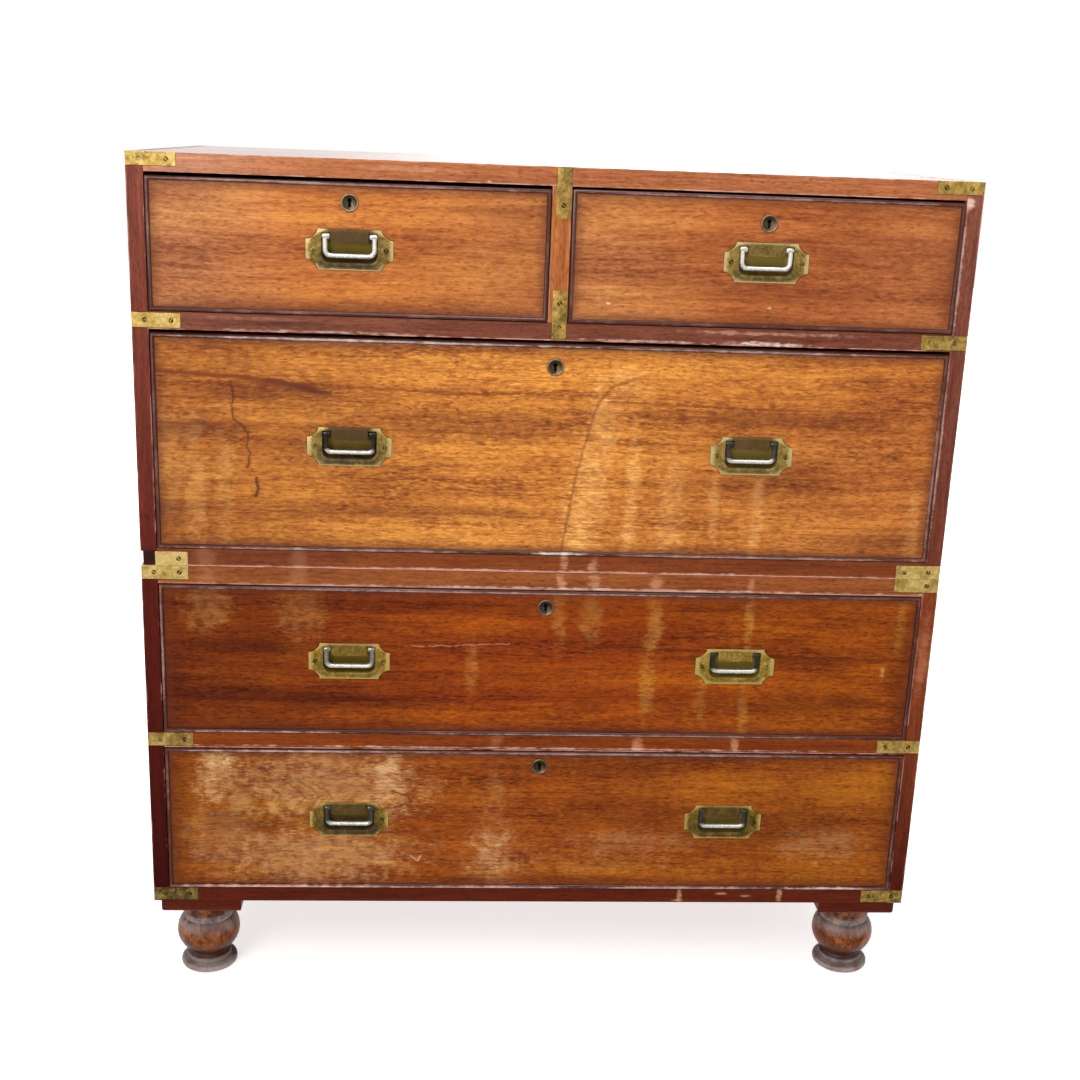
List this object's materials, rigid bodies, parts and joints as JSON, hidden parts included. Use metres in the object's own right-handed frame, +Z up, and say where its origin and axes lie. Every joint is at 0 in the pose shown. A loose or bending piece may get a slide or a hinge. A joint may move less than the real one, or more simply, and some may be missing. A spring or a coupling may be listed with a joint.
{
  "type": "campaign chest",
  "caption": "Stacking campaign chest of drawers: short drawers over long ones, let-in brass straps, recessed drop handles, and turned feet that unscrew.",
  "frame": {"origin": "on the floor under the middle of the chest, half way across its width and its depth", "axes": "+X to the right seen from the front, +Y from the drawer fronts to the back, +Z up"},
  "size_m": [0.914, 0.4596, 0.984],
  "materials": {
    "carcase_wood": "old French-polished mahogany, rubbed at the edges",
    "front_wood": "figured mahogany, polished and sun-faded",
    "lining_wood": "bare planed oak",
    "back_wood": "bare aged pine",
    "turned_wood": "turned mahogany, worn grey",
    "brass": "aged brass, part tarnished",
    "bail_metal": "worn bright white metal",
    "lock_metal": "dull steel"
  },
  "bodies": {
    "lower_chest": {"lower_left_side": "carcase_wood", "lower_right_side": "carcase_wood", "lower_bottom_board": "carcase_wood", "lower_top_board": "carcase_wood", "lower_drawer_rail": "carcase_wood", "lower_back_panel": "back_wood", "front_left_foot": "turned_wood", "front_right_foot": "turned_wood", "back_left_foot": "turned_wood", "back_right_foot": "turned_wood", "bottom_corner_left_strap": "brass", "bottom_corner_right_strap": "brass", "lower_rail_left_strap": "brass", "lower_rail_right_strap": "brass", "lower_top_left_strap": "brass", "lower_top_right_strap": "brass"},
    "upper_chest": {"upper_left_side": "carcase_wood", "upper_right_side": "carcase_wood", "upper_bottom_board": "carcase_wood", "top_board": "carcase_wood", "upper_drawer_rail": "carcase_wood", "partition": "carcase_wood", "upper_back_panel": "back_wood", "upper_bottom_left_strap": "brass", "upper_bottom_right_strap": "brass", "upper_rail_left_strap": "brass", "upper_rail_right_strap": "brass", "top_corner_left_strap": "brass", "top_corner_right_strap": "brass"},
    "bottom_drawer": {"bottom_drawer_front": "front_wood", "bottom_drawer_box": "lining_wood", "bottom_drawer_left_plate": "brass", "bottom_drawer_right_plate": "brass"},
    "middle_drawer": {"middle_drawer_front": "front_wood", "middle_drawer_box": "lining_wood", "middle_drawer_left_plate": "brass", "middle_drawer_right_plate": "brass"},
    "deep_drawer": {"deep_drawer_front": "front_wood", "deep_drawer_box": "lining_wood", "deep_drawer_left_plate": "brass", "deep_drawer_right_plate": "brass"},
    "top_left_drawer": {"top_left_drawer_front": "front_wood", "top_left_drawer_box": "lining_wood", "top_left_drawer_plate": "brass"},
    "top_right_drawer": {"top_right_drawer_front": "front_wood", "top_right_drawer_box": "lining_wood", "top_right_drawer_plate": "brass"},
    "bottom_left_bail": {"bottom_drawer_left_bail": "bail_metal"},
    "bottom_right_bail": {"bottom_drawer_right_bail": "bail_metal"},
    "middle_left_bail": {"middle_drawer_left_bail": "bail_metal"},
    "middle_right_bail": {"middle_drawer_right_bail": "bail_metal"},
    "deep_left_bail": {"deep_drawer_left_bail": "bail_metal"},
    "deep_right_bail": {"deep_drawer_right_bail": "bail_metal"},
    "top_left_bail": {"top_left_drawer_bail": "bail_metal"},
    "top_right_bail": {"top_right_drawer_bail": "bail_metal"},
    "bottom_bolt": {"bottom_drawer_bolt": "lock_metal"},
    "middle_bolt": {"middle_drawer_bolt": "lock_metal"},
    "deep_bolt": {"deep_drawer_bolt": "lock_metal"},
    "top_left_bolt": {"top_left_drawer_bolt": "lock_metal"},
    "top_right_bolt": {"top_right_drawer_bolt": "lock_metal"}
  },
  "joints": [
    {"name": "upper_chest_lift", "type": "slide", "parent": "lower_chest", "child": "upper_chest", "axis": [0, 0, 1], "range_m": [0, 0.12]},
    {"name": "bottom_drawer_slide", "type": "slide", "parent": "lower_chest", "child": "bottom_drawer", "axis": [0, -1, 0], "range_m": [0, 0.34]},
    {"name": "middle_drawer_slide", "type": "slide", "parent": "lower_chest", "child": "middle_drawer", "axis": [0, -1, 0], "range_m": [0, 0.34]},
    {"name": "deep_drawer_slide", "type": "slide", "parent": "upper_chest", "child": "deep_drawer", "axis": [0, -1, 0], "range_m": [0, 0.34]},
    {"name": "top_left_drawer_slide", "type": "slide", "parent": "upper_chest", "child": "top_left_drawer", "axis": [0, -1, 0], "range_m": [0, 0.34]},
    {"name": "top_right_drawer_slide", "type": "slide", "parent": "upper_chest", "child": "top_right_drawer", "axis": [0, -1, 0], "range_m": [0, 0.34]},
    {"name": "bottom_left_bail_hinge", "type": "hinge", "parent": "bottom_drawer", "child": "bottom_left_bail", "pos_m": [-0.22475, -0.22465, 0.2369], "axis": [-1, 0, 0], "range_deg": [0, 90]},
    {"name": "bottom_right_bail_hinge", "type": "hinge", "parent": "bottom_drawer", "child": "bottom_right_bail", "pos_m": [0.22475, -0.22465, 0.2369], "axis": [-1, 0, 0], "range_deg": [0, 90]},
    {"name": "middle_left_bail_hinge", "type": "hinge", "parent": "middle_drawer", "child": "middle_left_bail", "pos_m": [-0.22475, -0.22465, 0.4374], "axis": [-1, 0, 0], "range_deg": [0, 90]},
    {"name": "middle_right_bail_hinge", "type": "hinge", "parent": "middle_drawer", "child": "middle_right_bail", "pos_m": [0.22475, -0.22465, 0.4374], "axis": [-1, 0, 0], "range_deg": [0, 90]},
    {"name": "deep_left_bail_hinge", "type": "hinge", "parent": "deep_drawer", "child": "deep_left_bail", "pos_m": [-0.22475, -0.22465, 0.6899], "axis": [-1, 0, 0], "range_deg": [0, 90]},
    {"name": "deep_right_bail_hinge", "type": "hinge", "parent": "deep_drawer", "child": "deep_right_bail", "pos_m": [0.22475, -0.22465, 0.6899], "axis": [-1, 0, 0], "range_deg": [0, 90]},
    {"name": "top_left_bail_hinge", "type": "hinge", "parent": "top_left_drawer", "child": "top_left_bail", "pos_m": [-0.22475, -0.22465, 0.904], "axis": [-1, 0, 0], "range_deg": [0, 90]},
    {"name": "top_right_bail_hinge", "type": "hinge", "parent": "top_right_drawer", "child": "top_right_bail", "pos_m": [0.22475, -0.22465, 0.90465], "axis": [-1, 0, 0], "range_deg": [0, 90]},
    {"name": "bottom_bolt_slide", "type": "slide", "parent": "bottom_drawer", "child": "bottom_bolt", "axis": [0, 0, 1], "range_m": [0, 0.008]},
    {"name": "middle_bolt_slide", "type": "slide", "parent": "middle_drawer", "child": "middle_bolt", "axis": [0, 0, 1], "range_m": [0, 0.008]},
    {"name": "deep_bolt_slide", "type": "slide", "parent": "deep_drawer", "child": "deep_bolt", "axis": [0, 0, 1], "range_m": [0, 0.008]},
    {"name": "top_left_bolt_slide", "type": "slide", "parent": "top_left_drawer", "child": "top_left_bolt", "axis": [0, 0, 1], "range_m": [0, 0.008]},
    {"name": "top_right_bolt_slide", "type": "slide", "parent": "top_right_drawer", "child": "top_right_bolt", "axis": [0, 0, 1], "range_m": [0, 0.008]}
  ]
}
